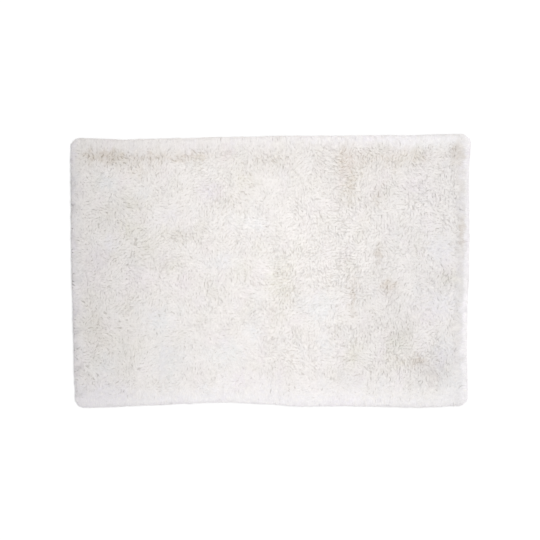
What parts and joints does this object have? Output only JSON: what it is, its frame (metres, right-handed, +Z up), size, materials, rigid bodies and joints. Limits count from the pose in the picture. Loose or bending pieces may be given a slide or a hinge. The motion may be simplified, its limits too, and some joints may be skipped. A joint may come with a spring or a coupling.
{
  "type": "shaggy pile rug",
  "caption": "Rectangular ivory rug of long soft pile that fans over its edges, lying flat on the floor.",
  "frame": {"origin": "on the floor under the middle of the rug's outline", "axes": "+X along the longer side, +Y along the shorter side, +Z up out of the pile"},
  "size_m": [1.876, 1.281, 0.0338],
  "materials": {
    "ivory_pile": "matt long pile in warm ivory, brushed in changing directions"
  },
  "bodies": {
    "root": {"pile_rug": "ivory_pile"}
  },
  "joints": []
}
